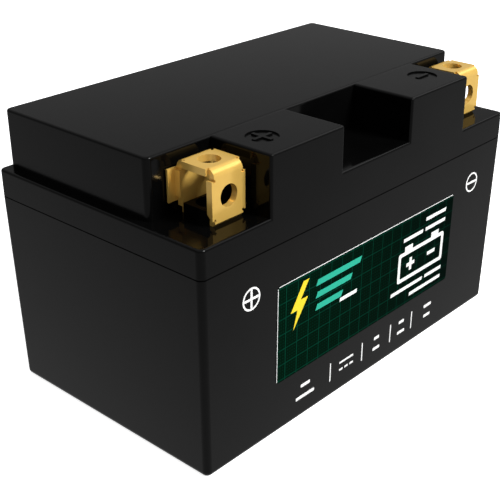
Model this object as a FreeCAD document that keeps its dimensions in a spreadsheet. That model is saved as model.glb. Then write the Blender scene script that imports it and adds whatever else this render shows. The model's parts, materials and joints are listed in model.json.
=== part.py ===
import FreeCAD, Part
import os
import re

import Sketcher
from FreeCAD import Placement, Rotation, Vector

# Sealed twelve-volt motorcycle battery, in millimetres.  X runs along the case,
# the labelled front faces -Y, Z is up, and the origin is the centre of the
# underside.  The positive terminal is at -X, the negative at +X.

SIZES = {
    # case
    "case_length": 150.0,
    "case_width": 87.0,
    "case_height": 92.0,
    "draft_run": 1.0,
    "seam_level": 64.35,
    "wall_thickness": 2.6,
    "floor_thickness": 2.6,
    "corner_radius": 2.0,
    "cell_corner_radius": 1.5,
    "foot_radius": 1.8,
    "edge_radius": 0.8,
    "seam_gap": 0.35,
    "seam_depth": 0.6,
    "overshoot": 1.0,
    # cells
    "cell_length": 22.8,
    "cell_pitch": 24.4,
    "rest_rib_height": 1.0,
    "rest_rib_width": 2.0,
    # lid
    "deck_level": 73.4,
    "deck_thickness": 2.6,
    "cover_front": -20.8,
    "tower_outer": 48.4,
    "tower_inner": 16.8,
    "tower_wall": 2.4,
    "tower_shift": 0.6,
    "notch_level": 77.7,
    "rear_edge_radius": 0.35,
    "locating_rib_inset": 2.4,
    "locating_rib_thickness": 1.4,
    "locating_rib_height": 1.2,
    "nozzle_radius": 5.0,
    "nozzle_bore_radius": 3.6,
    "nozzle_top": 82.4,
    "nozzle_along": 10.1,
    "bond_inset": 1.4,
    "bond_overlap": 0.3,
    "bond_height": 1.5,
    # recessed polarity marks with a raised sign
    "mark_radius": 4.9,
    "mark_depth": 0.45,
    "mark_across": 39.1,
    "mark_along": -31.8,
    "sign_half_width": 0.55,
    "plus_arm": 3.7,
    "minus_arm": 3.0,
    # top cover
    "cover_side_inset": 3.25,
    "cover_back_inset": 1.95,
    "cover_wall": 2.2,
    "cover_corner_radius": 1.8,
    "hold_down_radius": 3.0,
    "vent_radius": 1.0,
    "vent_level": 82.0,
    "arrestor_radius": 4.0,
    "arrestor_thickness": 1.8,
    "arrestor_boss_radius": 5.6,
    # valve caps
    "cap_radius": 6.6,
    "cap_clearance": 0.1,
    "cap_top_thickness": 1.6,
    "cap_skirt_bottom": 75.6,
    "cap_lip_height": 1.4,
    "cap_lip_radius": 7.0,
    "cap_headroom": 1.1,
    # terminals
    "positive_across": 56.4,
    "negative_across": 62.7,
    "terminal_front": -36.0,
    "terminal_top": 89.7,
    "strip_thickness": 2.0,
    "strip_width": 10.9,
    "leg_gap": 10.1,
    "back_leg_bottom": 76.0,
    "bend_radius": 2.4,
    "inner_bend_radius": 0.5,
    "ear_width": 12.8,
    "ear_bottom": 75.3,
    "ear_top": 86.6,
    "back_ear_bottom": 79.0,
    "ear_chamfer": 1.6,
    "foot_chamfer": 0.9,
    "wing_front": -33.8,
    "wing_back": -24.6,
    "relief_radius": 0.45,
    "bolt_hole_radius": 3.25,
    "front_hole_level": 81.1,
    "top_hole_along": -28.9,
    "flange_outer": 8.9,
    "flange_inner": 8.4,
    "flange_bottom": 77.5,
    "flange_top": 87.2,
    "flange_thickness": 0.6,
    "tang_width": 8.0,
    "tang_bottom": 66.0,
    "seat_level": 77.2,
    "seat_clearance": 0.15,
    "seat_width": 11.0,
    "well_radius": 4.0,
    "well_floor": 74.6,
    # posts and their seals
    "post_radius": 5.0,
    "post_top": 69.4,
    "seal_radius": 6.0,
    "seal_top": 72.2,
    # plate groups
    "plate_width": 78.0,
    "plate_height": 50.0,
    "negative_thickness": 1.5,
    "positive_thickness": 2.0,
    "mat_thickness": 0.85,
    "mat_width": 80.0,
    "mat_height": 51.5,
    "lug_width": 9.0,
    "strap_along": 22.6,
    "strap_length": 20.0,
    "strap_width": 10.0,
    "strap_level": 56.4,
    "strap_height": 3.2,
    "tab_thickness": 2.0,
    "tab_top": 64.2,
    "weld_radius": 3.0,
    "weld_level": 60.6,
    # label
    "label_length": 91.4,
    "label_shift": 0.9,
    "label_height": 32.8,
    "label_bottom": 18.2,
    "label_thickness": 0.14,
    "label_corner_radius": 1.0,
}

CELLS = range(1, 7)
PARTITIONS = range(1, 6)
SIDES = {"positive": -1, "negative": 1}
MIDDLES = {name: f"{direction} * {name}_across" for name, direction in SIDES.items()}
POSITIVE_PLATES = 4
NEGATIVE_PLATES = 5
TOLERANCE = 0.01

doc = FreeCAD.newDocument("motorcycle_battery")
sheet = doc.addObject("Spreadsheet::Sheet", "Sizes")
for row, (alias, number) in enumerate(SIZES.items(), start=1):
    sheet.set(f"A{row}", alias)
    sheet.set(f"B{row}", str(number))
    sheet.setAlias(f"B{row}", alias)
doc.recompute()


# ---------------------------------------------------------------- expressions

def named(expression):
    """Write the sheet's name before every size in an expression."""
    return re.sub(r"[a-z][a-z_]+", lambda word: ("Sizes." if word[0] in SIZES else "") + word[0], expression)


def value(expression):
    """Work an expression of sizes out to a number."""
    return float(sheet.evalExpression(named(expression)))


def bind(item, place, expression):
    """Tie one property or sketch constraint to the sheet."""
    item.setExpression(place, named(expression))


def cell_centre(cell):
    return f"({cell} - 3.5) * cell_pitch"


def partition_place(partition):
    return f"({partition} - 3) * cell_pitch"


# ------------------------------------------------------------------- sketches

def start_body(label):
    """Make an empty body whose label is its node's name."""
    body = doc.addObject("PartDesign::Body", label)
    body.Label = label
    return body


def start_sketch(body, role, level):
    """Attach a sketch to one of the body's origin planes, raised to a level along its normal."""
    sketch = body.newObject("Sketcher::SketchObject", f"{body.Name}_sketch")
    plane = next(item for item in body.Origin.OriginFeatures if item.Role == role)
    sketch.AttachmentSupport = [(plane, "")]
    sketch.MapMode = "FlatFace"
    bind(sketch, "AttachmentOffset.Base.z", level)
    return sketch


def fix_distance(sketch, kind, geometry, point, expression):
    """Hold a point's distance from the sketch origin to an expression."""
    if expression == "0":
        axis = -2 if kind == "DistanceX" else -1
        sketch.addConstraint(Sketcher.Constraint("PointOnObject", geometry, point, axis))
        return
    rule = Sketcher.Constraint(kind, -1, 1, geometry, point, value(expression))
    index = sketch.addConstraint(rule)
    name = f"size_{index}"
    sketch.renameConstraint(index, name)
    bind(sketch, f"Constraints.{name}", expression)


def outline(sketch, corners):
    """Draw a closed polygon whose corners are pairs of expressions."""
    first = sketch.GeometryCount
    points = [Vector(value(across), value(along), 0) for across, along in corners]
    following = points[1:] + points[:1]
    for start, end in zip(points, following):
        sketch.addGeometry(Part.LineSegment(start, end), False)
    for index, (across, along) in enumerate(corners):
        edge = first + index
        next_edge = first + (index + 1) % len(corners)
        sketch.addConstraint(Sketcher.Constraint("Coincident", edge, 2, next_edge, 1))
        fix_distance(sketch, "DistanceX", edge, 1, across)
        fix_distance(sketch, "DistanceY", edge, 1, along)


def rectangle(sketch, left, right, low, high):
    """Draw a rectangle between four expressions."""
    outline(sketch, [(left, low), (right, low), (right, high), (left, high)])


def circle(sketch, across, along, radius):
    """Draw a circle whose centre and radius are expressions."""
    centre = Vector(value(across), value(along), 0)
    index = sketch.addGeometry(Part.Circle(centre, Vector(0, 0, 1), value(radius)), False)
    fix_distance(sketch, "DistanceX", index, 3, across)
    fix_distance(sketch, "DistanceY", index, 3, along)
    rule = sketch.addConstraint(Sketcher.Constraint("Radius", index, value(radius)))
    sketch.renameConstraint(rule, f"radius_{index}")
    bind(sketch, f"Constraints.radius_{index}", radius)


# ------------------------------------------------------------------- features

def pad(body, sketch, length, reverse=False, both_ways=False):
    """Add material from a sketch and check that the body grew."""
    before = body.Shape.Volume if body.Tip else 0
    feature = body.newObject("PartDesign::Pad", f"{body.Name}_pad")
    feature.Profile = sketch
    feature.Reversed = reverse
    feature.Midplane = both_ways
    bind(feature, "Length", length)
    sketch.Visibility = False
    doc.recompute()
    if feature.Shape.Volume <= before:
        raise ValueError(f"{feature.Name} adds nothing")
    return feature


def pocket(body, sketch, depth, reverse=False, both_ways=False):
    """Cut material by a sketch and check that the body shrank."""
    before = body.Tip.Shape.Volume
    feature = body.newObject("PartDesign::Pocket", f"{body.Name}_pocket")
    feature.Profile = sketch
    feature.Reversed = reverse
    feature.Midplane = both_ways
    bind(feature, "Length", depth)
    sketch.Visibility = False
    doc.recompute()
    if feature.Shape.Volume >= before:
        raise ValueError(f"{feature.Name} cuts nothing")
    return feature


def dress_edges(body, kind, size_name, size, chosen):
    """Fillet or chamfer those edges of the body's last feature whose bounding boxes are chosen."""
    base = body.Tip
    edges = enumerate(base.Shape.Edges, start=1)
    names = [f"Edge{number}" for number, edge in edges if chosen(edge.BoundBox)]
    if not names:
        raise ValueError(f"{body.Name} has no such edge")
    feature = body.newObject(f"PartDesign::{kind}", f"{body.Name}_{kind.lower()}")
    feature.Base = (base, names)
    bind(feature, size_name, size)
    doc.recompute()


def fillet(body, radius, chosen):
    dress_edges(body, "Fillet", "Radius", radius, chosen)


def chamfer(body, size, chosen):
    dress_edges(body, "Chamfer", "Size", size, chosen)


def near(first, second):
    return abs(first - second) < TOLERANCE


def level_at(box, height):
    """Say whether an edge lies flat at a height."""
    return near(box.ZMin, height) and near(box.ZMax, height)


def upright(box, rise):
    """Say whether an edge runs up, with no more lean than the draft, for at least a rise."""
    lean = value("draft_run") + TOLERANCE
    return box.ZLength > value(rise) - TOLERANCE and box.XLength < lean and box.YLength < lean


# ------------------------------------------------------------------ container

def cell_rectangles(sketch, growth):
    """Draw the outlines of the six cells, each grown on every side."""
    for cell in CELLS:
        centre = cell_centre(cell)
        rectangle(
            sketch,
            f"{centre} - cell_length / 2 - {growth}",
            f"{centre} + cell_length / 2 + {growth}",
            f"wall_thickness - case_width / 2 - {growth}",
            f"case_width / 2 - wall_thickness + {growth}",
        )


def case_rectangle(sketch, inset):
    """Draw the case's outline, moved in on every side."""
    rectangle(
        sketch,
        f"{inset} - case_length / 2",
        f"case_length / 2 - {inset}",
        f"{inset} - case_width / 2",
        f"case_width / 2 - {inset}",
    )


def weld_along(partition):
    """The welds alternate from the back strap to the front strap."""
    return "strap_along" if partition % 2 else "-strap_along"


def make_container():
    """Drafted box with six cells, open at the top."""
    body = start_body("container")
    foot = start_sketch(body, "XY_Plane", "0")
    case_rectangle(foot, "draft_run")
    block = pad(body, foot, "seam_level")
    bind(block, "TaperAngle", "atan(draft_run / seam_level)")
    doc.recompute()
    fillet(body, "corner_radius", lambda box: upright(box, "seam_level"))
    fillet(body, "foot_radius", lambda box: level_at(box, 0))

    cells = start_sketch(body, "XY_Plane", "seam_level")
    cell_rectangles(cells, "0")
    pocket(body, cells, "seam_level - floor_thickness")
    half_length = value("case_length / 2 - wall_thickness") + TOLERANCE
    half_width = value("case_width / 2 - wall_thickness") + TOLERANCE

    def cell_corner(box):
        inside = abs(box.XMax) < half_length and abs(box.YMax) < half_width
        return inside and upright(box, "seam_level - floor_thickness")

    fillet(body, "cell_corner_radius", cell_corner)

    ribs = start_sketch(body, "XY_Plane", "floor_thickness")
    reach = "case_length / 2 - wall_thickness"
    for side in ("", "-"):
        middle = f"{side}strap_along"
        low = f"{middle} - rest_rib_width / 2"
        high = f"{middle} + rest_rib_width / 2"
        rectangle(ribs, f"-({reach})", reach, low, high)
    pad(body, ribs, "rest_rib_height")

    for partition in PARTITIONS:
        hole = start_sketch(body, "YZ_Plane", partition_place(partition))
        circle(hole, weld_along(partition), "weld_level", "weld_radius")
        pocket(body, hole, "2 * (cell_pitch - cell_length)", both_ways=True)


# ------------------------------------------------------------------------ lid

def mirrored_rectangle(sketch, inner, outer, low, high, inner_shift="0", outer_shift="0"):
    """Draw a rectangle on each side of the middle, then shift its inner and outer edges along X."""
    rectangle(sketch, f"{inner_shift} + {inner}", f"{outer_shift} + {outer}", low, high)
    rectangle(sketch, f"{outer_shift} - ({outer})", f"{inner_shift} - ({inner})", low, high)


def raise_lid_blocks(body):
    """Pad the inset sill that leaves the seam's groove, the band, the two towers and the notch floor."""
    sill = start_sketch(body, "XY_Plane", "seam_level")
    case_rectangle(sill, "seam_depth")
    pad(body, sill, "seam_gap")
    fillet(body, "corner_radius", lambda box: upright(box, "seam_gap"))

    band = start_sketch(body, "XY_Plane", "seam_level + seam_gap")
    case_rectangle(band, "0")
    pad(body, band, "deck_level - seam_level - seam_gap")
    fillet(body, "corner_radius", lambda box: upright(box, "deck_level - seam_level - seam_gap"))

    towers = start_sketch(body, "XY_Plane", "deck_level")
    front = "-case_width / 2"
    mirrored_rectangle(towers, "tower_inner", "tower_outer", front, "cover_front",
                       inner_shift="tower_shift", outer_shift="tower_shift")
    pad(body, towers, "case_height - deck_level")

    notch = start_sketch(body, "XY_Plane", "deck_level")
    rectangle(notch, "tower_shift - tower_inner", "tower_shift + tower_inner", front, "cover_front")
    pad(body, notch, "notch_level - deck_level")


def round_lid(body):
    """Round the lid's outer edges and, more finely, the towers' rear edges."""
    deck = value("deck_level")
    notch = value("notch_level")
    top = value("case_height")
    front = value("-case_width / 2")
    rear = value("cover_front")
    half_length = value("case_length / 2")

    def rim(box):
        at_end = near(box.XMin, -half_length) or near(box.XMax, half_length)
        at_side = near(box.YMin, front) or near(box.YMax, -front)
        beside_tower = near(box.XMin, box.XMax) and not at_end
        return level_at(box, deck) and (at_end or at_side) and not beside_tower

    def tower_front(box):
        return upright(box, "case_height - notch_level") and near(box.YMin, front)

    def notch_front(box):
        return level_at(box, notch) and near(box.YMax, front)

    def tower_top(box):
        return level_at(box, top) and not near(box.YMin, rear)

    def outer(box):
        return rim(box) or tower_front(box) or notch_front(box) or tower_top(box)

    fillet(body, "edge_radius", outer)
    fillet(body, "rear_edge_radius", lambda box: level_at(box, top) and near(box.YMax, rear))


def hollow_lid(body):
    """Open the underside over each cell, up into the towers and under the notch."""
    cells = start_sketch(body, "XY_Plane", "seam_level")
    cell_rectangles(cells, "0")
    pocket(body, cells, "deck_level - deck_thickness - seam_level", reverse=True)

    low = "tower_wall - case_width / 2"
    high = "cover_front - tower_wall"
    cell_edge = "cell_pitch - (cell_pitch - cell_length) / 2"
    tall = start_sketch(body, "XY_Plane", "seam_level")
    mirrored_rectangle(tall, "tower_inner + tower_wall", cell_edge, low, high, inner_shift="tower_shift")
    mirrored_rectangle(tall, "2 * cell_pitch - cell_length", "tower_outer - tower_wall", low, high,
                       outer_shift="tower_shift")
    pocket(body, tall, "case_height - tower_wall - seam_level", reverse=True)

    short = start_sketch(body, "XY_Plane", "seam_level")
    mirrored_rectangle(short, "(cell_pitch - cell_length) / 2", "tower_inner", low, high,
                       outer_shift="tower_shift")
    pocket(body, short, "notch_level - tower_wall - seam_level", reverse=True)


def add_nozzles(body):
    """Stand a vent nozzle over each cell and bore it through the deck."""
    tubes = start_sketch(body, "XY_Plane", "deck_level")
    for cell in CELLS:
        circle(tubes, cell_centre(cell), "nozzle_along", "nozzle_radius")
    pad(body, tubes, "nozzle_top - deck_level")
    bores = start_sketch(body, "XY_Plane", "nozzle_top")
    for cell in CELLS:
        circle(bores, cell_centre(cell), "nozzle_along", "nozzle_bore_radius")
    pocket(body, bores, "nozzle_top - deck_level + 2 * deck_thickness")


def add_locating_rib(body):
    """Stand a low rib on the deck that centres the top cover."""
    rib = start_sketch(body, "XY_Plane", "deck_level")
    for inset in ("locating_rib_inset", "(locating_rib_inset + locating_rib_thickness)"):
        side = f"case_length / 2 - cover_side_inset - {inset}"
        back = f"case_width / 2 - cover_back_inset - {inset}"
        rectangle(rib, f"-({side})", side, f"cover_front + {inset}", back)
    pad(body, rib, "locating_rib_height")


def add_terminal_seats(body):
    """Add the seat block and bolt well under each bracket and the slot for its tang."""
    inner_front = "terminal_front + strip_thickness"
    back_leg = f"{inner_front} + leg_gap"
    for middle in MIDDLES.values():
        seat = start_sketch(body, "XY_Plane", "deck_level")
        rectangle(
            seat,
            f"{middle} - seat_width / 2",
            f"{middle} + seat_width / 2",
            f"{inner_front} + seat_clearance",
            f"{back_leg} - seat_clearance",
        )
        pad(body, seat, "seat_level - deck_level")
        well = start_sketch(body, "XY_Plane", "seat_level")
        circle(well, middle, "top_hole_along", "well_radius")
        pocket(body, well, "seat_level - well_floor")
        recess = start_sketch(body, "XY_Plane", "deck_level - deck_thickness")
        circle(recess, middle, "-strap_along", "seal_radius")
        pocket(body, recess, "seal_top - deck_level + deck_thickness", reverse=True)
        slot = start_sketch(body, "XY_Plane", "deck_level")
        rectangle(
            slot,
            f"{middle} - tang_width / 2",
            f"{middle} + tang_width / 2",
            back_leg,
            f"{back_leg} + strip_thickness",
        )
        pocket(body, slot, "deck_level - seal_top + deck_thickness / 2")


def cross_corners(across, along, arm):
    """List the twelve corners of a plus sign."""
    wide = "sign_half_width"
    quarter_corners = [(wide, wide), (wide, arm), (f"-{wide}", arm)]
    corners = []
    for quarter in range(4):
        for right, up in quarter_corners:
            right, up = turn_quarters(right, up, quarter)
            corners.append((f"{across} + ({right})", f"{along} + ({up})"))
    return corners


def turn_quarters(right, up, quarters):
    """Turn a pair of expressions by quarter turns to the left."""
    for _ in range(quarters):
        right, up = f"-({up})", right
    return right, up


def sink_polarity_marks(body):
    """Sink a round recess in each tower's top and leave its sign standing."""
    plus_across = "tower_shift - mark_across"
    plus = start_sketch(body, "XY_Plane", "case_height")
    circle(plus, plus_across, "mark_along", "mark_radius")
    outline(plus, cross_corners(plus_across, "mark_along", "plus_arm"))
    pocket(body, plus, "mark_depth")
    minus_across = "tower_shift + mark_across"
    minus = start_sketch(body, "XY_Plane", "case_height")
    circle(minus, minus_across, "mark_along", "mark_radius")
    rectangle(
        minus,
        f"{minus_across} - minus_arm",
        f"{minus_across} + minus_arm",
        "mark_along - sign_half_width",
        "mark_along + sign_half_width",
    )
    pocket(body, minus, "mark_depth")


def bond_sketch(body):
    """Draw the web of adhesive along the rim and the partitions."""
    web = start_sketch(body, "XY_Plane", "seam_level")
    case_rectangle(web, "bond_inset")
    cell_rectangles(web, "bond_overlap")
    return web


def make_lid():
    """Lid with the seam band, towers, notch, terminal pockets and nozzles."""
    body = start_body("lid")
    raise_lid_blocks(body)
    round_lid(body)
    hollow_lid(body)
    add_nozzles(body)
    add_locating_rib(body)
    add_terminal_seats(body)
    sink_polarity_marks(body)
    pocket(body, bond_sketch(body), "bond_height", reverse=True)


def make_lid_bond():
    """Adhesive that fills the groove in the lid's underside."""
    body = start_body("lid_bond")
    pad(body, bond_sketch(body), "bond_height")


# ------------------------------------------------------------------ top cover

def make_top_cover():
    """Cover over the valve caps, welded to the deck behind the towers."""
    body = start_body("top_cover")
    side = "case_length / 2 - cover_side_inset"
    back = "case_width / 2 - cover_back_inset"
    block = start_sketch(body, "XY_Plane", "deck_level")
    rectangle(block, f"-({side})", side, "cover_front", back)
    pad(body, block, "case_height - deck_level")

    top = value("case_height")
    fillet(body, "cover_corner_radius", lambda box: upright(box, "case_height - deck_level"))
    fillet(body, "edge_radius", lambda box: level_at(box, top))

    hollow = start_sketch(body, "XY_Plane", "deck_level")
    inner_side = f"{side} - cover_wall"
    rectangle(hollow, f"-({inner_side})", inner_side, "cover_front + cover_wall", f"{back} - cover_wall")
    pocket(body, hollow, "case_height - cover_wall - deck_level", reverse=True)

    add_hold_downs(body)
    add_arrestor_boss(body)


def add_hold_downs(body):
    """Hang a stop over each valve cap, just above its full lift."""
    stops = start_sketch(body, "XY_Plane", "nozzle_top + cap_top_thickness + cap_headroom")
    for cell in CELLS:
        circle(stops, cell_centre(cell), "nozzle_along", "hold_down_radius")
    pad(body, stops, "case_height - cover_wall - nozzle_top - cap_top_thickness - cap_headroom")


def add_arrestor_boss(body):
    """Ring inside the rear wall that holds the arrestor, with the vent behind it."""
    inner_wall = "case_width / 2 - cover_back_inset - cover_wall"
    ring = start_sketch(body, "XZ_Plane", f"-({inner_wall})")
    circle(ring, "0", "vent_level", "arrestor_boss_radius")
    circle(ring, "0", "vent_level", "arrestor_radius")
    pad(body, ring, "arrestor_thickness")
    vent = start_sketch(body, "XZ_Plane", f"-({inner_wall})")
    circle(vent, "0", "vent_level", "vent_radius")
    pocket(body, vent, "2 * cover_wall")


def make_flame_arrestor():
    """Porous disc pressed into the vent boss."""
    body = start_body("flame_arrestor")
    disc = start_sketch(body, "XZ_Plane", "cover_wall + cover_back_inset - case_width / 2")
    circle(disc, "0", "vent_level", "arrestor_radius")
    pad(body, disc, "arrestor_thickness")


def make_valve_cap(cell):
    """Rubber cap with a closed top and a lipped skirt round the nozzle."""
    body = start_body(f"valve_cap_{cell}")
    skirt = start_sketch(body, "XY_Plane", "cap_skirt_bottom")
    circle(skirt, cell_centre(cell), "nozzle_along", "cap_radius")
    pad(body, skirt, "nozzle_top + cap_top_thickness - cap_skirt_bottom")
    lip = start_sketch(body, "XY_Plane", "cap_skirt_bottom")
    circle(lip, cell_centre(cell), "nozzle_along", "cap_lip_radius")
    pad(body, lip, "cap_lip_height")
    bore = start_sketch(body, "XY_Plane", "cap_skirt_bottom")
    circle(bore, cell_centre(cell), "nozzle_along", "nozzle_radius + cap_clearance")
    pocket(body, bore, "nozzle_top - cap_skirt_bottom", reverse=True)


# ------------------------------------------------------------------ terminals

def strip_outline(sketch):
    """Draw the side view of the bent strip: front leg, top and back leg."""
    inner_front = "terminal_front + strip_thickness"
    inner_back = f"{inner_front} + leg_gap"
    back = f"{inner_back} + strip_thickness"
    under_top = "terminal_top - strip_thickness"
    outline(sketch, [
        ("terminal_front", "deck_level"),
        ("terminal_front", "terminal_top"),
        (back, "terminal_top"),
        (back, "back_leg_bottom"),
        (inner_back, "back_leg_bottom"),
        (inner_back, under_top),
        (inner_front, under_top),
        (inner_front, "deck_level"),
    ])


def bend_strip(body, middle):
    """Pad the strip and round its two bends outside and inside."""
    strip = start_sketch(body, "YZ_Plane", middle)
    strip_outline(strip)
    pad(body, strip, "strip_width", both_ways=True)
    top = value("terminal_top")
    under_top = value("terminal_top - strip_thickness")
    across = value("strip_width") - TOLERANCE
    fillet(body, "bend_radius", lambda box: level_at(box, top) and box.XLength > across)
    fillet(body, "inner_bend_radius", lambda box: level_at(box, under_top) and box.XLength > across)


def widen_top(body, middle):
    """Add the wings of the top plate, between the two bends."""
    wings = start_sketch(body, "XY_Plane", "terminal_top")
    rectangle(wings, f"{middle} - ear_width / 2", f"{middle} + ear_width / 2", "wing_front", "wing_back")
    pad(body, wings, "strip_thickness", reverse=True)


def widen_legs(body, middle):
    """Add the ears of both legs, with a bevel under each front one at the back."""
    back_leg = "terminal_front + strip_thickness + leg_gap"
    for leg_front, low in (("terminal_front", "ear_bottom"), (back_leg, "back_ear_bottom")):
        ears = start_sketch(body, "XZ_Plane", f"-({leg_front})")
        rectangle(ears, f"{middle} - ear_width / 2", f"{middle} + ear_width / 2", low, "ear_top")
        pad(body, ears, "strip_thickness", reverse=True)

    ear_bottom = value("ear_bottom")
    plate_back = value("terminal_front + strip_thickness")
    chamfer(body, "ear_chamfer", lambda box: level_at(box, ear_bottom) and near(box.YMin, plate_back))


def bevel_foot(body):
    """Bevel the front of the foot where it stands on the deck."""
    deck = value("deck_level")
    front = value("terminal_front")
    chamfer(body, "foot_chamfer", lambda box: level_at(box, deck) and near(box.YMax, front))


def extend_back_leg(body, middle, direction):
    """Add the flange behind the back leg and the tang below it."""
    back_face = "-(terminal_front + 2 * strip_thickness + leg_gap)"
    flange = start_sketch(body, "XZ_Plane", back_face)
    rectangle(flange, f"{middle} - {direction} * flange_inner", f"{middle} + {direction} * flange_outer",
              "flange_bottom", "flange_top")
    pad(body, flange, "flange_thickness", reverse=True)

    tang = start_sketch(body, "XZ_Plane", back_face)
    rectangle(tang, f"{middle} - tang_width / 2", f"{middle} + tang_width / 2",
              "tang_bottom", "back_leg_bottom + overshoot")
    pad(body, tang, "strip_thickness")


def drill_terminal(body, middle):
    """Drill the two bolt holes and the relief holes beside the bends and above the foot."""
    front_hole = start_sketch(body, "XZ_Plane", "-terminal_front")
    circle(front_hole, middle, "front_hole_level", "bolt_hole_radius")
    top_hole = start_sketch(body, "XY_Plane", "terminal_top")
    circle(top_hole, middle, "top_hole_along", "bolt_hole_radius")
    for side in (-1, 1):
        edge = f"{middle} + {side} * strip_width / 2"
        circle(front_hole, edge, "ear_top", "relief_radius")
        circle(front_hole, edge, "ear_bottom", "relief_radius")
        circle(top_hole, edge, "wing_front", "relief_radius")
        circle(top_hole, edge, "wing_back", "relief_radius")
    pocket(body, front_hole, "strip_thickness")
    pocket(body, top_hole, "strip_thickness + inner_bend_radius")


def make_terminal(name):
    """Brass strip bent into an inverted U round the nut space."""
    body = start_body(f"terminal_{name}")
    middle = MIDDLES[name]
    bend_strip(body, middle)
    widen_top(body, middle)
    widen_legs(body, middle)
    bevel_foot(body)
    extend_back_leg(body, middle, SIDES[name])
    drill_terminal(body, middle)


def make_post_seal(name):
    """Epoxy plug round the tang under the deck."""
    body = start_body(f"post_seal_{name}")
    middle = MIDDLES[name]
    plug = start_sketch(body, "XY_Plane", "post_top")
    circle(plug, middle, "-strap_along", "seal_radius")
    pad(body, plug, "seal_top - post_top")
    cut_tang_slot(body, middle, "seal_top", "seal_top - post_top")


def make_post(name):
    """Lead post from the end strap up round the tang."""
    body = start_body(f"post_{name}")
    middle = MIDDLES[name]
    column = start_sketch(body, "XY_Plane", "strap_level + strap_height")
    circle(column, middle, "-strap_along", "post_radius")
    pad(body, column, "post_top - strap_level - strap_height")
    cut_tang_slot(body, middle, "post_top", "post_top - tang_bottom")


def cut_tang_slot(body, middle, level, depth):
    """Cut the slot that the tang fills, from a level down."""
    slot = start_sketch(body, "XY_Plane", level)
    front = "terminal_front + strip_thickness + leg_gap"
    rectangle(slot, f"{middle} - tang_width / 2", f"{middle} + tang_width / 2",
              front, f"{front} + strip_thickness")
    pocket(body, slot, depth)


# --------------------------------------------------------------- plate groups

def make_box(name, length, width, height, left, front, low):
    """Box primitive from three sizes and its lowest corner."""
    box = doc.addObject("Part::Box", name)
    for place, expression in (
        ("Length", length),
        ("Width", width),
        ("Height", height),
        ("Placement.Base.x", left),
        ("Placement.Base.y", front),
        ("Placement.Base.z", low),
    ):
        bind(box, place, expression)
    return box


def stack_place(layer):
    """Left face of a plate: even layers are negative plates, odd ones positive."""
    negatives = (layer + 1) // 2
    positives = layer // 2
    half_stack = (
        f"({NEGATIVE_PLATES} * negative_thickness + {POSITIVE_PLATES} * positive_thickness"
        f" + {2 * POSITIVE_PLATES} * mat_thickness) / 2"
    )
    passed = f"{negatives} * negative_thickness + {positives} * positive_thickness + {layer} * mat_thickness"
    return f"{passed} - {half_stack}"


def plate_foot():
    """The plates stand on the mat's fold, and that on the rest ribs."""
    return "floor_thickness + rest_rib_height + mat_thickness"


def strap_side(polarity, cell):
    """Odd cells have the positive strap at the front, even cells at the back."""
    front_polarity = "positive" if cell % 2 else "negative"
    return "-strap_along" if polarity == front_polarity else "strap_along"


def joined_partition(polarity, cell):
    """Partition through which a group is welded to the next cell, if any."""
    partition = cell - 1 if polarity == "positive" else cell
    return partition if partition in PARTITIONS else None


def make_plate_group(polarity, cell):
    """Plates of one polarity with their lugs, cast strap and weld tab."""
    count = POSITIVE_PLATES if polarity == "positive" else NEGATIVE_PLATES
    first_layer = 1 if polarity == "positive" else 0
    thickness = f"{polarity}_thickness"
    middle = cell_centre(cell)
    along = strap_side(polarity, cell)
    lug_front = f"{along} - lug_width / 2"
    lug_low = f"{plate_foot()} + plate_height"
    pieces = []
    for plate in range(count):
        left = f"{middle} + {stack_place(first_layer + 2 * plate)}"
        name = f"{polarity}_{cell}_plate"
        pieces.append(make_box(name, thickness, "plate_width", "plate_height",
                               left, "-plate_width / 2", plate_foot()))
        pieces.append(make_box(f"{name}_lug", thickness, "lug_width",
                               f"strap_level - ({lug_low}) + overshoot", left, lug_front, lug_low))
    pieces.append(make_box(f"{polarity}_{cell}_strap", "strap_length", "strap_width", "strap_height",
                           f"{middle} - strap_length / 2", f"{along} - strap_width / 2", "strap_level"))
    partition = joined_partition(polarity, cell)
    if partition is not None:
        wall = "(cell_pitch - cell_length) / 2"
        to_left = partition < cell
        place = partition_place(partition)
        left = f"{place} + {wall}" if to_left else f"{place} - {wall} - tab_thickness"
        pieces.append(make_box(f"{polarity}_{cell}_tab", "tab_thickness", "lug_width",
                               "tab_top - strap_level", left, lug_front, "strap_level"))
    group = doc.addObject("Part::MultiFuse", f"{polarity}_group_{cell}")
    group.Shapes = pieces
    group.Label = f"{polarity}_group_{cell}"


def make_separators(cell):
    """Glass mats, each folded under one positive plate and up both its sides."""
    middle = cell_centre(cell)
    folds = []
    for plate in range(POSITIVE_PLATES):
        left = f"{middle} + {stack_place(1 + 2 * plate)}"
        outer = make_box(f"mat_{cell}_outer", "positive_thickness + 2 * mat_thickness", "mat_width",
                         "mat_height", f"{left} - mat_thickness", "-mat_width / 2",
                         "floor_thickness + rest_rib_height")
        inner = make_box(f"mat_{cell}_inner", "positive_thickness", "mat_width + 2 * overshoot",
                         "mat_height", left, "-mat_width / 2 - overshoot", plate_foot())
        fold = doc.addObject("Part::Cut", f"mat_{cell}_fold")
        fold.Base = outer
        fold.Tool = inner
        folds.append(fold)
    mats = doc.addObject("Part::Compound", f"separators_{cell}")
    mats.Links = folds
    mats.Label = f"separators_{cell}"


def make_intercell_weld(partition):
    """Lead plug through a partition, between two weld tabs."""
    weld = doc.addObject("Part::Cylinder", f"intercell_weld_{partition}")
    weld.Label = f"intercell_weld_{partition}"
    weld.Placement = Placement(Vector(0, 0, 0), Rotation(Vector(0, 1, 0), 90))
    bind(weld, "Radius", "weld_radius")
    bind(weld, "Height", "cell_pitch - cell_length")
    bind(weld, "Placement.Base.x", f"{partition_place(partition)} - (cell_pitch - cell_length) / 2")
    bind(weld, "Placement.Base.y", weld_along(partition))
    bind(weld, "Placement.Base.z", "weld_level")


# ---------------------------------------------------------------------- label

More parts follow.
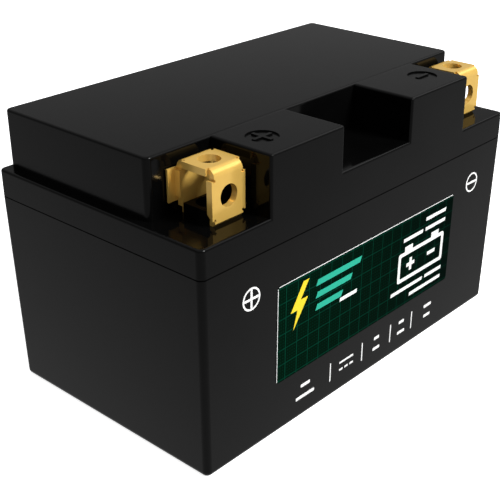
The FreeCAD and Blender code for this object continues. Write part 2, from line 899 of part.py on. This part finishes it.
def make_front_label():
    """Thin label that lies on the drafted front wall."""
    body = start_body("front_label")
    face = start_sketch(body, "XZ_Plane", "0")
    rectangle(face, "label_shift - label_length / 2", "label_shift + label_length / 2", "0", "label_height")
    pad(body, face, "label_thickness")
    fillet(body, "label_corner_radius", lambda box: box.YLength > box.XLength + box.ZLength)
    body.Placement = Placement(Vector(0, 0, 0), Rotation(Vector(1, 0, 0), 1))
    bind(body, "Placement.Rotation.Angle", "atan(draft_run / seam_level)")
    bind(body, "Placement.Base.y", "draft_run * (1 - label_bottom / seam_level) - case_width / 2")
    bind(body, "Placement.Base.z", "label_bottom")


# ----------------------------------------------------------------- whole part

def make_all():
    make_container()
    make_lid()
    make_lid_bond()
    make_top_cover()
    make_flame_arrestor()
    make_front_label()
    for name in SIDES:
        make_terminal(name)
        make_post_seal(name)
        make_post(name)
    for cell in CELLS:
        make_valve_cap(cell)
        make_plate_group("positive", cell)
        make_plate_group("negative", cell)
        make_separators(cell)
    for partition in PARTITIONS:
        make_intercell_weld(partition)


def finished_pieces():
    """Collect the bodies and the primitives that no other object uses."""
    pieces = []
    for item in doc.Objects:
        is_body = item.isDerivedFrom("PartDesign::Body")
        is_solid = item.TypeId in ("Part::MultiFuse", "Part::Compound", "Part::Cylinder")
        if is_body or is_solid:
            pieces.append(item)
    return pieces


def check_document(pieces):
    """Stop if any object failed or any piece has no valid shape."""
    for item in doc.Objects:
        if "Invalid" in item.State or "Error" in item.State:
            raise ValueError(f"{item.Label} failed: {item.State}")
    for piece in pieces:
        if piece.Shape.isNull() or not piece.Shape.isValid():
            raise ValueError(f"{piece.Label} has no valid shape")


def write_pieces(pieces):
    os.makedirs("parts", exist_ok=True)
    for piece in pieces:
        piece.Shape.exportStep(f"parts/{piece.Label}.step")


make_all()
doc.recompute()
all_pieces = finished_pieces()
check_document(all_pieces)
write_pieces(all_pieces)
print(f"{len(all_pieces)} pieces written")
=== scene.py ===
import json
import math

import bpy
from mathutils import Matrix, Vector


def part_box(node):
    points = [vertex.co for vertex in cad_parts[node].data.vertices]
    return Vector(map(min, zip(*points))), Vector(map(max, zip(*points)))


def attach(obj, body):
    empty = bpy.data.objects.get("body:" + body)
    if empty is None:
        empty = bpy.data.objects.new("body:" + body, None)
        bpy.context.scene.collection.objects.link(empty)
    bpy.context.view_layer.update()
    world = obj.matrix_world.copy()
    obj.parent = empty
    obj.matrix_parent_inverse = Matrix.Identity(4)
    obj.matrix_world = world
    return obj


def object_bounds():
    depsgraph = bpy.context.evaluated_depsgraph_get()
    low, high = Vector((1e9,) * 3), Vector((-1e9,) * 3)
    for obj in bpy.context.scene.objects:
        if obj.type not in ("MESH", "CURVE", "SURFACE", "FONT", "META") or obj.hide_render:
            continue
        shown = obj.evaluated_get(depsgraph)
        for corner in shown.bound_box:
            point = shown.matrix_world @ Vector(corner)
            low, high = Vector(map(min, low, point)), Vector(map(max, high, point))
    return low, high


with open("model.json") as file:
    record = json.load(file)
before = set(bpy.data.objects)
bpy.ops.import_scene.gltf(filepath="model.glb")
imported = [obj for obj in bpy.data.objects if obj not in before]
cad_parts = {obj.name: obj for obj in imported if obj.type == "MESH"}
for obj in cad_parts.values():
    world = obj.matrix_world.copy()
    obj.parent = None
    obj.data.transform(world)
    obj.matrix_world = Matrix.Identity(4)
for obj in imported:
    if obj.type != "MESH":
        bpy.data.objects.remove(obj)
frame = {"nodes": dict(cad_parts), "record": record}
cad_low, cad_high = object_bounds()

MM = 0.001

# The container's walls lean in towards its foot by this much on each side.
DRAFT_RUN = 1.0 * MM
PRINT_THICKNESS = 0.06 * MM
LABEL_THICKNESS = 0.14 * MM

# Where the recesses in front of the top cover lie, short of their rims, in millimetres.
RECESS_SPANS = (("X", -74.0, 74.0), ("Y", -42.6, -20.75), ("Z", 72.9, 91.4))

CONTAINER_LOW, CONTAINER_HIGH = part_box("container")
LABEL_LOW, LABEL_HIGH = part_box("front_label")


# ------------------------------------------------------------------ materials

def new_material(name):
    """Empty node material with its output and shader."""
    material = bpy.data.materials.new(name)
    material.use_nodes = True
    nodes = material.node_tree.nodes
    nodes.clear()
    output = nodes.new("ShaderNodeOutputMaterial")
    shader = nodes.new("ShaderNodeBsdfPrincipled")
    material.node_tree.links.new(shader.outputs["BSDF"], output.inputs["Surface"])
    return material, shader


class Graph:
    """Short calls that add nodes to one material and link them."""

    def __init__(self, material):
        self.nodes = material.node_tree.nodes
        self.links = material.node_tree.links
        self.coords = self.nodes.new("ShaderNodeTexCoord").outputs["Object"]

    def link(self, source, target):
        self.links.new(source, target)

    def feed(self, source, socket):
        """Link a socket, or set a plain value."""
        if isinstance(source, bpy.types.NodeSocket):
            self.links.new(source, socket)
        else:
            socket.default_value = source

    def scaled(self, factors):
        mapping = self.nodes.new("ShaderNodeMapping")
        mapping.inputs["Scale"].default_value = factors
        self.link(self.coords, mapping.inputs["Vector"])
        return mapping.outputs["Vector"]

    def noise(self, scale, detail=4.0, roughness=0.5, vector=None):
        node = self.nodes.new("ShaderNodeTexNoise")
        node.inputs["Scale"].default_value = scale
        node.inputs["Detail"].default_value = detail
        node.inputs["Roughness"].default_value = roughness
        self.link(vector or self.coords, node.inputs["Vector"])
        return node.outputs["Fac"]

    def ramp(self, source, stops):
        """Colour ramp whose stops are pairs of place and colour."""
        node = self.nodes.new("ShaderNodeValToRGB")
        elements = node.color_ramp.elements
        while len(elements) < len(stops):
            elements.new(0.5)
        for element, (place, colour) in zip(elements, stops):
            element.position = place
            element.color = (*colour, 1.0)
        self.link(source, node.inputs["Fac"])
        return node.outputs["Color"]

    def spread(self, source, low, high):
        """Map 0..1 onto a range."""
        node = self.nodes.new("ShaderNodeMapRange")
        node.inputs["To Min"].default_value = low
        node.inputs["To Max"].default_value = high
        self.link(source, node.inputs["Value"])
        return node.outputs["Result"]

    def math(self, operation, first, second=0.0):
        node = self.nodes.new("ShaderNodeMath")
        node.operation = operation
        self.feed(first, node.inputs[0])
        self.feed(second, node.inputs[1])
        return node.outputs["Value"]

    def mix(self, factor, first, second):
        node = self.nodes.new("ShaderNodeMix")
        node.data_type = "RGBA"
        self.feed(factor, node.inputs["Factor"])
        self.feed(first, node.inputs["A"])
        self.feed(second, node.inputs["B"])
        return node.outputs["Result"]

    def bump(self, height, strength, distance, under=None):
        node = self.nodes.new("ShaderNodeBump")
        node.inputs["Strength"].default_value = strength
        node.inputs["Distance"].default_value = distance
        self.link(height, node.inputs["Height"])
        if under:
            self.link(under, node.inputs["Normal"])
        return node.outputs["Normal"]


def recess_mask(graph):
    """One on the walls and floors of the terminal pockets and the notch, nought on the outer faces."""
    split = graph.nodes.new("ShaderNodeSeparateXYZ")
    graph.link(graph.coords, split.inputs["Vector"])
    inside = 1.0
    for axis, low, high in RECESS_SPANS:
        above = graph.math("GREATER_THAN", split.outputs[axis], low * MM)
        below = graph.math("LESS_THAN", split.outputs[axis], high * MM)
        inside = graph.math("MULTIPLY", graph.math("MULTIPLY", above, below), inside)
    return inside


def plastic_material():
    """Satin black case plastic with a very fine moulded grain, glossier in the recesses."""
    material, shader = new_material("case_black_plastic")
    graph = Graph(material)
    cloud = graph.noise(60.0, detail=3.0)
    graph.link(graph.ramp(cloud, [(0.3, (0.0010, 0.0010, 0.0010)), (0.7, (0.0016, 0.0016, 0.0016))]),
               shader.inputs["Base Color"])
    recess_gloss = 0.12
    satin = graph.spread(graph.noise(900.0, detail=2.0), 0.17, 0.23)
    smoother = graph.math("MULTIPLY", recess_mask(graph), recess_gloss)
    graph.link(graph.math("SUBTRACT", satin, smoother), shader.inputs["Roughness"])
    shader.inputs["Specular IOR Level"].default_value = 0.11
    grain = graph.bump(graph.noise(3200.0, detail=2.0), 0.10, 0.01 * MM)
    wave = graph.bump(graph.noise(45.0, detail=1.0), 0.04, 0.05 * MM, under=grain)
    graph.link(wave, shader.inputs["Normal"])
    return material


def brass_material():
    """Rolled brass strip, lightly brushed along its length."""
    material, shader = new_material("terminal_brass")
    graph = Graph(material)
    cloud = graph.noise(220.0, detail=4.0)
    graph.link(graph.ramp(cloud, [(0.25, (0.72, 0.45, 0.100)), (0.75, (0.77, 0.49, 0.115))]),
               shader.inputs["Base Color"])
    shader.inputs["Metallic"].default_value = 0.42
    brushed = graph.noise(900.0, detail=3.0, vector=graph.scaled((6.0, 0.6, 0.6)))
    graph.link(graph.spread(brushed, 0.17, 0.22), shader.inputs["Roughness"])
    graph.link(graph.bump(brushed, 0.03, 0.004 * MM), shader.inputs["Normal"])
    return material


def periodic_distance(graph, coordinate, pitch):
    """Distance from the nearest line of a grid, in metres."""
    turns = graph.math("MULTIPLY", coordinate, 1.0 / pitch)
    part = graph.math("FRACT", turns)
    centred = graph.math("ABSOLUTE", graph.math("SUBTRACT", part, 0.5))
    return graph.math("MULTIPLY", graph.math("SUBTRACT", 0.5, centred), pitch)


def label_material():
    """Dark green vinyl printed with a faint square grid and fine dots."""
    material, shader = new_material("label_print")
    graph = Graph(material)
    split = graph.nodes.new("ShaderNodeSeparateXYZ")
    graph.link(graph.coords, split.inputs["Vector"])
    across = split.outputs["X"]
    height = split.outputs["Z"]

    grid_pitch = 5.2 * MM
    line_half_width = 0.15 * MM
    from_line = graph.math("ADD", across, 20 * grid_pitch + 41.0 * MM)
    level = graph.math("ADD", height, 20 * grid_pitch - 44.9 * MM)
    to_line = graph.math("MINIMUM", periodic_distance(graph, from_line, grid_pitch),
                         periodic_distance(graph, level, grid_pitch))
    on_line = graph.math("LESS_THAN", to_line, line_half_width)

    dot_pitch = grid_pitch / 5
    dot_radius = 0.24 * MM
    side = graph.math("POWER", periodic_distance(graph, from_line, dot_pitch), 2.0)
    rise = graph.math("POWER", periodic_distance(graph, level, dot_pitch), 2.0)
    reach = graph.math("SQRT", graph.math("ADD", side, rise))
    on_dot = graph.math("LESS_THAN", reach, dot_radius)

    fade = graph.math("DIVIDE", graph.math("SUBTRACT", across, LABEL_LOW.x), LABEL_HIGH.x - LABEL_LOW.x)
    ground = graph.mix(fade, (0.0002, 0.0066, 0.0028, 1.0), (0.0001, 0.0022, 0.0013, 1.0))
    dots = graph.mix(fade, (0.0009, 0.0160, 0.0080, 1.0), (0.0005, 0.0056, 0.0034, 1.0))
    lines = graph.mix(fade, (0.0009, 0.0350, 0.0190, 1.0), (0.0005, 0.0150, 0.0085, 1.0))
    colour = graph.mix(on_line, graph.mix(on_dot, ground, dots), lines)
    graph.link(colour, shader.inputs["Base Color"])
    graph.link(graph.spread(graph.noise(500.0), 0.34, 0.44), shader.inputs["Roughness"])
    shader.inputs["Specular IOR Level"].default_value = 0.003
    graph.link(graph.bump(graph.noise(260.0, detail=2.0), 0.06, 0.03 * MM), shader.inputs["Normal"])
    return material


def ink_material(name, colour, worn):
    """Screen-printed ink with slight mottling."""
    material, shader = new_material(name)
    graph = Graph(material)
    mottle = graph.noise(1800.0, detail=3.0, roughness=0.7)
    graph.link(graph.ramp(mottle, [(0.2, worn), (0.5, colour)]), shader.inputs["Base Color"])
    graph.link(graph.spread(graph.noise(700.0), 0.42, 0.55), shader.inputs["Roughness"])
    shader.inputs["Specular IOR Level"].default_value = 0.3
    graph.link(graph.bump(mottle, 0.1, 0.01 * MM), shader.inputs["Normal"])
    return material


def rough_material(name, dark, light, scale, roughness, bump, metallic=0.0):
    """Mottled material for the pieces inside the case."""
    material, shader = new_material(name)
    graph = Graph(material)
    mottle = graph.noise(scale, detail=6.0, roughness=0.6)
    graph.link(graph.ramp(mottle, [(0.3, dark), (0.7, light)]), shader.inputs["Base Color"])
    graph.link(graph.spread(mottle, roughness - 0.08, roughness + 0.08), shader.inputs["Roughness"])
    shader.inputs["Metallic"].default_value = metallic
    graph.link(graph.bump(graph.noise(scale * 4.0), 0.3, bump), shader.inputs["Normal"])
    return material


def slot_materials():
    """One material for each material slot of the record."""
    return {
        "case_plastic": plastic_material(),
        "brass": brass_material(),
        "label_vinyl": label_material(),
        "cap_rubber": rough_material("valve_rubber", (0.010, 0.010, 0.010), (0.020, 0.020, 0.021),
                                     400.0, 0.62, 0.03 * MM),
        "epoxy": rough_material("cast_epoxy", (0.012, 0.012, 0.014), (0.030, 0.030, 0.034),
                                120.0, 0.25, 0.01 * MM),
        "lead": rough_material("cast_lead", (0.16, 0.165, 0.18), (0.30, 0.31, 0.33),
                               300.0, 0.48, 0.04 * MM, metallic=0.9),
        "positive_plate": rough_material("brown_paste", (0.055, 0.028, 0.016), (0.110, 0.058, 0.034),
                                         500.0, 0.80, 0.08 * MM),
        "negative_plate": rough_material("grey_paste", (0.115, 0.120, 0.130), (0.200, 0.205, 0.215),
                                         500.0, 0.76, 0.08 * MM),
        "glass_mat": rough_material("glass_mat", (0.62, 0.63, 0.63), (0.84, 0.85, 0.85),
                                    1400.0, 0.92, 0.10 * MM),
        "porous_disc": rough_material("sintered_disc", (0.40, 0.39, 0.36), (0.62, 0.60, 0.56),
                                      2200.0, 0.88, 0.10 * MM),
    }


def dress_frame(materials):
    """Give every CAD node the material of its slot."""
    for entry in frame["record"]["subparts"]:
        node = frame["nodes"][entry["node"]]
        node.data.materials.clear()
        node.data.materials.append(materials[entry["material_slot"]])


# ------------------------------------------------------------- printed pieces

def front_wall_matrix(lift):
    """Frame of the drafted front wall: X across, Y up the wall, Z out of it."""
    lean = math.atan2(DRAFT_RUN, CONTAINER_HIGH.z)
    across = Vector((1, 0, 0))
    up = Vector((0, -math.sin(lean), math.cos(lean)))
    out = across.cross(up)
    foot = Vector((0, CONTAINER_LOW.y + DRAFT_RUN, 0)) + out * lift
    matrix = Matrix((across, up, out)).transposed().to_4x4()
    matrix.translation = foot
    return matrix


def circle_loop(centre, radius, count=64):
    """Points round a circle."""
    turn = 2 * math.pi / count
    return [(centre[0] + radius * math.cos(turn * step), centre[1] + radius * math.sin(turn * step))
            for step in range(count)]


def bar_loop(left, low, right, high, corner=0.0, lean=0.0):
    """Rectangle with optional rounded corners, and an optional lean to the right per unit of height."""
    corners = [(right - corner, high - corner), (left + corner, high - corner),
               (left + corner, low + corner), (right - corner, low + corner)]
    steps = 6 if corner else 0
    loop = []
    for quarter, (across, along) in enumerate(corners):
        for step in range(steps + 1):
            angle = math.pi / 2 * (quarter + (step / steps if steps else 0))
            height = along + corner * math.sin(angle)
            loop.append((across + corner * math.cos(angle) + lean * (height - low), height))
    return loop


def plus_loop(centre, arm, half_width):
    """Twelve-cornered plus sign."""
    loop = []
    for quarter in range(4):
        for right, up in ((half_width, half_width), (half_width, arm), (-half_width, arm)):
            for _ in range(quarter):
                right, up = -up, right
            loop.append((centre[0] + right, centre[1] + up))
    return loop


def printed_piece(name, loops, material, lift=0.0):
    """Thin raised print on the front wall, from closed loops in millimetres."""
    curve = bpy.data.curves.new(name, "CURVE")
    curve.dimensions = "2D"
    curve.fill_mode = "BOTH"
    curve.extrude = PRINT_THICKNESS / 2
    for loop in loops:
        spline = curve.splines.new("POLY")
        spline.points.add(len(loop) - 1)
        for point, (across, along) in zip(spline.points, loop):
            point.co = (across * MM, along * MM, 0, 1)
        spline.use_cyclic_u = True
    drawn = bpy.data.objects.new(f"{name}_curve", curve)
    bpy.context.scene.collection.objects.link(drawn)
    bpy.context.view_layer.update()
    mesh = bpy.data.meshes.new_from_object(drawn)
    bpy.data.objects.remove(drawn)
    mesh.transform(front_wall_matrix(lift + PRINT_THICKNESS / 2))
    mesh.materials.clear()
    mesh.materials.append(material)
    mesh.name = name
    piece = bpy.data.objects.new(name, mesh)
    bpy.context.scene.collection.objects.link(piece)
    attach(piece, "battery")


def make_polarity_marks(white):
    """Printed rings with a plus and a minus, under the two terminals."""
    ring_outer, ring_line = 3.6, 0.6
    plus_centre, minus_centre = (-55.8, 51.9), (57.9, 51.9)
    sign_arm, sign_half_width = 2.9, 0.4
    printed_piece("printed_plus", [
        circle_loop(plus_centre, ring_outer),
        circle_loop(plus_centre, ring_outer - ring_line),
        plus_loop(plus_centre, sign_arm, sign_half_width),
    ], white)
    left, right = minus_centre[0] - sign_arm, minus_centre[0] + sign_arm
    low, high = minus_centre[1] - sign_half_width, minus_centre[1] + sign_half_width
    printed_piece("printed_minus", [
        circle_loop(minus_centre, ring_outer),
        circle_loop(minus_centre, ring_outer - ring_line),
        bar_loop(left, low, right, high),
    ], white)


def make_rating_row(white):
    """Row of dividers and plain bars under the label."""
    row_middle = 9.7
    divider_height, divider_width = 6.8, 0.5
    loops = [bar_loop(place - divider_width / 2, row_middle - divider_height / 2,
                      place + divider_width / 2, row_middle + divider_height / 2)
             for place in (-18.5, -1.8, 14.0, 26.5)]
    printed_piece("printed_dividers", loops, white)

    # Middle of each pair of bars, with half the length of its upper and its lower bar.
    line_height, line_rise = 1.1, 2.0
    bars = []
    for middle, upper_half, lower_half in ((-30.9, 2.2, 4.4), (6.1, 1.4, 1.9),
                                           (20.4, 1.5, 2.1), (36.2, 2.3, 2.0)):
        for side, half in ((1, upper_half), (-1, lower_half)):
            level = row_middle + side * line_rise
            bars.append(bar_loop(middle - half, level - line_height / 2, middle + half,
                                 level + line_height / 2, corner=0.3))
    printed_piece("printed_bars", bars, white)
    make_direct_current_sign(white, -10.2, row_middle)


def make_direct_current_sign(white, middle, level):
    """Solid line over a dashed line: the general sign for direct current."""
    half_length, line, half_gap, dashes = 3.6, 0.7, 1.0, 3
    dash = 2 * half_length / (1.5 * dashes - 0.5)
    solid_low = level + half_gap
    loops = [bar_loop(middle - half_length, solid_low, middle + half_length, solid_low + line)]
    for step in range(dashes):
        left = middle - half_length + step * 1.5 * dash
        loops.append(bar_loop(left, level - half_gap - line, left + dash, level - half_gap))
    printed_piece("printed_current_sign", loops, white)


def make_label_art(white, yellow, teal):
    """Plain art on the label: bolt and stripes at the left, battery picture and bars at the right."""
    left, right = LABEL_LOW.x / MM, LABEL_HIGH.x / MM
    low, high = LABEL_LOW.z / MM, LABEL_HIGH.z / MM
    corner, edge = 0.6, 0.22
    label_piece("label_edge_top", [bar_loop(left + corner, high - edge, right - corner, high)], white)
    label_piece("label_edge_left", [bar_loop(left, low + corner, left + edge, high - corner)], white)

    bolt_across, bolt_level = -35.2, 41.2
    bolt = [(1.8, 7.5), (-3.8, -1.2), (-0.7, -1.2), (-2.5, -7.5), (4.0, 1.8), (0.7, 1.8), (4.3, 7.5)]
    label_piece("label_bolt", [[(bolt_across + x, bolt_level + z) for x, z in bolt]], yellow)

    start, stripe_height = -27.5, 2.0
    stripes = [bar_loop(start, level, start + length, level + stripe_height, lean=0.45)
               for level, length in ((44.6, 21.5), (40.4, 17.0), (36.2, 12.5))]
    label_piece("label_stripes", stripes, teal)

    make_battery_picture(white)
    # Where each plain bar starts and ends, and its level.
    bar_height = 1.25
    bars = [(30.3, 42.2, 46.3), (17.8, 28.8, 42.6), (30.4, 42.2, 42.6),
            (12.4, 30.6, 24.1), (32.2, 42.2, 24.1), (23.4, 42.2, 20.6), (-15.6, -7.0, 34.4)]
    loops = [bar_loop(start, level, end, level + bar_height, lean=0.15) for start, end, level in bars]
    label_piece("label_bars", loops, white)


def label_piece(name, loops, material):
    """Print on the label's face."""
    printed_piece(name, loops, material, LABEL_THICKNESS)


def make_battery_picture(white):
    """Outline of a plain battery with its two signs."""
    left, right, low, high, line = 15.6, 42.2, 27.8, 40.6, 1.35
    stud_height, stud_width, stud_inset = 1.8, 4.4, 3.4
    lid = high - stud_height
    middle = (low + lid) / 2
    minus_across, sign_arm, sign_half_width = right - 7.2, 2.3, 0.65
    label_piece("label_battery", [
        bar_loop(left, low, right, lid, corner=1.0),
        bar_loop(left + line, low + line, right - line, lid - line, corner=0.5),
        bar_loop(left + stud_inset, lid, left + stud_inset + stud_width, high),
        bar_loop(right - stud_inset - stud_width, lid, right - stud_inset, high),
        plus_loop((left + 7.2, middle), sign_arm, sign_half_width),
        bar_loop(minus_across - sign_arm, middle - sign_half_width, minus_across + sign_arm,
                 middle + sign_half_width),
    ], white)


# ---------------------------------------------------------------- the setting

def make_floor():
    """Plain white floor."""
    material, shader = new_material("floor_white")
    graph = Graph(material)
    graph.link(graph.ramp(graph.noise(3.0), [(0.0, (0.90, 0.90, 0.90)), (1.0, (0.94, 0.94, 0.94))]),
               shader.inputs["Base Color"])
    shader.inputs["Roughness"].default_value = 0.9
    shader.inputs["Specular IOR Level"].default_value = 0.0
    shader.inputs["Emission Color"].default_value = (1.0, 1.0, 1.0, 1.0)
    shader.inputs["Emission Strength"].default_value = 0.8
    reach = 3.0
    mesh = bpy.data.meshes.new("floor")
    mesh.from_pydata([(-reach, -reach, 0), (reach, -reach, 0), (reach, reach, 0), (-reach, reach, 0)],
                     [], [(0, 1, 2, 3)])
    floor = bpy.data.objects.new("floor", mesh)
    floor.location.z = cad_low.z - 0.02 * MM
    mesh.materials.append(material)
    bpy.context.scene.collection.objects.link(floor)
    floor.visible_glossy = False
    floor.visible_diffuse = False


def make_world():
    """Grey studio, bright below and overhead, and darkest a little above the horizon."""
    world = bpy.data.worlds.new("studio")
    bpy.context.scene.world = world
    world.use_nodes = True
    nodes, links = world.node_tree.nodes, world.node_tree.links
    nodes.clear()
    output = nodes.new("ShaderNodeOutputWorld")
    background = nodes.new("ShaderNodeBackground")
    coords = nodes.new("ShaderNodeTexCoord")
    split = nodes.new("ShaderNodeSeparateXYZ")
    rise = nodes.new("ShaderNodeMapRange")
    rise.inputs["From Min"].default_value = -1.0
    ramp = nodes.new("ShaderNodeValToRGB")
    elements = ramp.color_ramp.elements
    stops = [(0.0, 0.95), (0.2, 0.76), (0.33, 0.50), (0.5, 0.40),
             (0.62, 0.28), (0.66, 0.21), (0.76, 0.36), (1.0, 0.9)]
    while len(elements) < len(stops):
        elements.new(0.5)
    for element, (place, grey) in zip(elements, stops):
        element.position = place
        element.color = (grey, grey, grey, 1.0)
    links.new(coords.outputs["Generated"], split.inputs["Vector"])
    links.new(split.outputs["Z"], rise.inputs["Value"])
    links.new(rise.outputs["Result"], ramp.inputs["Fac"])
    links.new(ramp.outputs["Color"], background.inputs["Color"])
    links.new(background.outputs["Background"], output.inputs["Surface"])


def area_light(name, place, target, size, power):
    """Soft square lamp that faces a point."""
    lamp = bpy.data.lights.new(name, "AREA")
    lamp.shape = "RECTANGLE"
    lamp.size, lamp.size_y = size
    lamp.energy = power
    holder = bpy.data.objects.new(name, lamp)
    holder.location = place
    aim = Vector(target) - Vector(place)
    holder.rotation_euler = aim.to_track_quat("-Z", "Y").to_euler()
    bpy.context.scene.collection.objects.link(holder)


def make_lights():
    """Small bright key lamp at the front, and a large weak lamp at the right."""
    middle = (cad_low + cad_high) / 2
    key_offset = Vector((0.20, -0.74, 0.64))
    side_offset = Vector((0.59, -0.27, 0.56))
    area_light("key", middle + key_offset, middle, (0.25, 0.25), 14.0)
    area_light("side", middle + side_offset, middle, (0.65, 0.36), 1.0)


def make_camera():
    """Camera at the front left, looking down at the near corner."""
    camera = bpy.data.cameras.new("camera")
    camera.sensor_width = 36.0
    camera.lens = 73.84
    camera.shift_x = -0.0333
    camera.clip_start = 0.01
    camera.clip_end = 20.0
    holder = bpy.data.objects.new("camera", camera)
    holder.location = (-237.69 * MM, -211.50 * MM, 188.26 * MM)
    pitch, yaw = math.radians(-26.09), math.radians(-48.21)
    holder.rotation_euler = (math.pi / 2 + pitch, 0, yaw)
    bpy.context.scene.collection.objects.link(holder)
    bpy.context.scene.camera = holder
    bpy.context.scene.view_settings.view_transform = "Standard"


def main():
    materials = slot_materials()
    dress_frame(materials)
    white = ink_material("white_ink", (0.78, 0.78, 0.77), (0.58, 0.58, 0.57))
    yellow = ink_material("yellow_ink", (0.76, 0.58, 0.015), (0.62, 0.46, 0.015))
    teal = ink_material("teal_ink", (0.008, 0.36, 0.24), (0.008, 0.28, 0.18))
    make_polarity_marks(white)
    make_rating_row(white)
    make_label_art(white, yellow, teal)
    make_floor()
    make_world()
    make_lights()
    make_camera()


main()
